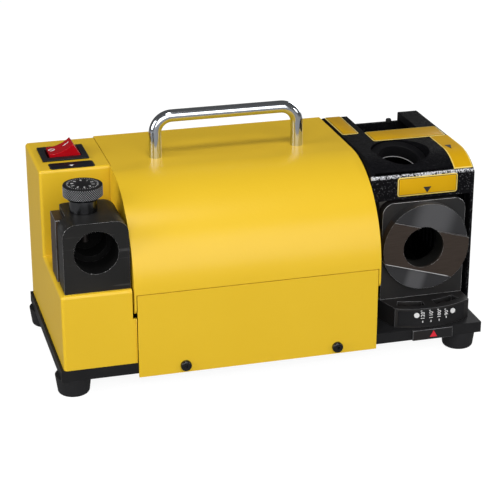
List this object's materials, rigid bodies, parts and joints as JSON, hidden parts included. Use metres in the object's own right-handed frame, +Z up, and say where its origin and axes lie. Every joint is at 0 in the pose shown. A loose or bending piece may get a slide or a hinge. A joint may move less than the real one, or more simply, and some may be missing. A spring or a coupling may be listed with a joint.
{
  "type": "drill bit sharpener",
  "caption": "Bench drill bit sharpener: boxed motor body with hinged lid and carry handle, setting gauge with dial, swivelling angle seat and grinding head with holder ports.",
  "frame": {"origin": "on the floor under the middle of the bounding box", "axes": "+X along the machine from the gauge and switch end to the grinding head, +Y from the user's side to the back, +Z up"},
  "size_m": [0.3249, 0.159, 0.1823],
  "materials": {
    "yellow_paint": "glossy powder coat with a fine orange-peel grain",
    "black_paint": "satin black paint",
    "head_paint": "black crinkle paint, worn bright along the front edge",
    "black_steel": "machined steel, black oxide",
    "chrome": "polished chrome plate",
    "rubber": "matt moulded rubber",
    "red_plastic": "glossy red rocker",
    "black_plastic": "moulded black plastic",
    "grey_plastic": "moulded grey plastic",
    "steel": "zinc plated steel",
    "aluminium": "cast and drawn aluminium",
    "core_steel": "laminated core steel",
    "abrasive": "grit bonded on a steel core",
    "brass": "plain brass"
  },
  "bodies": {
    "frame": {"left_housing": "yellow_paint", "front_panel": "yellow_paint", "rear_cover": "yellow_paint", "base_plate": "black_paint", "head_roof": "head_paint", "head_left_wall": "head_paint", "head_back_wall": "head_paint", "head_side_cover": "head_paint", "thinning_shelf": "head_paint", "gauge_block": "black_steel", "gauge_side_plate": "black_steel", "dial_sleeve": "black_steel", "pointer_block": "black_steel", "relief_seat": "black_steel", "thinning_seat": "black_steel", "panel_screws": "black_steel", "rear_screws": "black_steel", "clamp_screws": "black_steel", "rubber_feet": "rubber", "switch_body": "black_plastic", "power_inlet": "black_plastic", "terminal_block": "black_plastic", "capacitor_clip": "black_plastic", "storage_tray": "grey_plastic", "foot_screws": "steel", "hinge_leaf_fixed": "steel", "hinge_pin": "steel", "bearings": "steel", "motor_cradle": "steel", "motor_straps": "steel", "head_bolts": "steel", "swivel_pin": "steel", "gauge_screws": "steel", "motor_case": "aluminium", "motor_bell_left": "aluminium", "motor_bell_right": "aluminium", "capacitor": "aluminium", "stator_core": "core_steel", "inlet_pins": "brass"},
    "spindle": {"motor_shaft": "steel", "rotor_core": "core_steel", "cooling_fan": "black_plastic", "grinding_wheel": "abrasive", "wheel_flanges": "steel", "wheel_nut": "steel"},
    "lid": {"lid": "yellow_paint", "hinge_leaf_moving": "steel", "handle": "chrome", "handle_nuts": "steel"},
    "rocker": {"switch_rocker": "red_plastic"},
    "dial": {"dial_knob": "black_steel", "dial_screw": "steel"},
    "stop": {"stop_pin": "steel"},
    "seat": {"swivel_base": "black_steel", "seat_plate": "black_steel", "seat_screws": "steel", "cam_ring": "black_steel", "scale_plate": "black_paint", "scale_rivets": "steel"}
  },
  "joints": [
    {"name": "spindle_spin", "type": "hinge", "parent": "frame", "child": "spindle", "pos_m": [0, 0.0285, 0.081], "axis": [1, 0, 0], "continuous": true},
    {"name": "lid_hinge", "type": "hinge", "parent": "frame", "child": "lid", "pos_m": [0, 0.078, 0.1368], "axis": [-1, 0, 0], "range_deg": [0, 90]},
    {"name": "switch_rocker", "type": "hinge", "parent": "frame", "child": "rocker", "pos_m": [-0.1341, 0.03975, 0.147], "axis": [0, 1, 0], "range_deg": [0, 40]},
    {"name": "dial_turn", "type": "hinge", "parent": "frame", "child": "dial", "pos_m": [-0.1339, -0.044, 0.14], "axis": [0, 0, 1], "range_deg": [0, 330]},
    {"name": "stop_slide", "type": "slide", "parent": "frame", "child": "stop", "axis": [0, 0, -1], "range_m": [0, 0.00184]},
    {"name": "seat_swivel", "type": "hinge", "parent": "frame", "child": "seat", "pos_m": [0.12245, -0.009, 0.03], "axis": [0, 0, 1], "range_deg": [-7, 5]}
  ],
  "couplings": [
    {"joint": "stop_slide", "follows": "dial_turn", "m_per_rad": 0.000318}
  ]
}
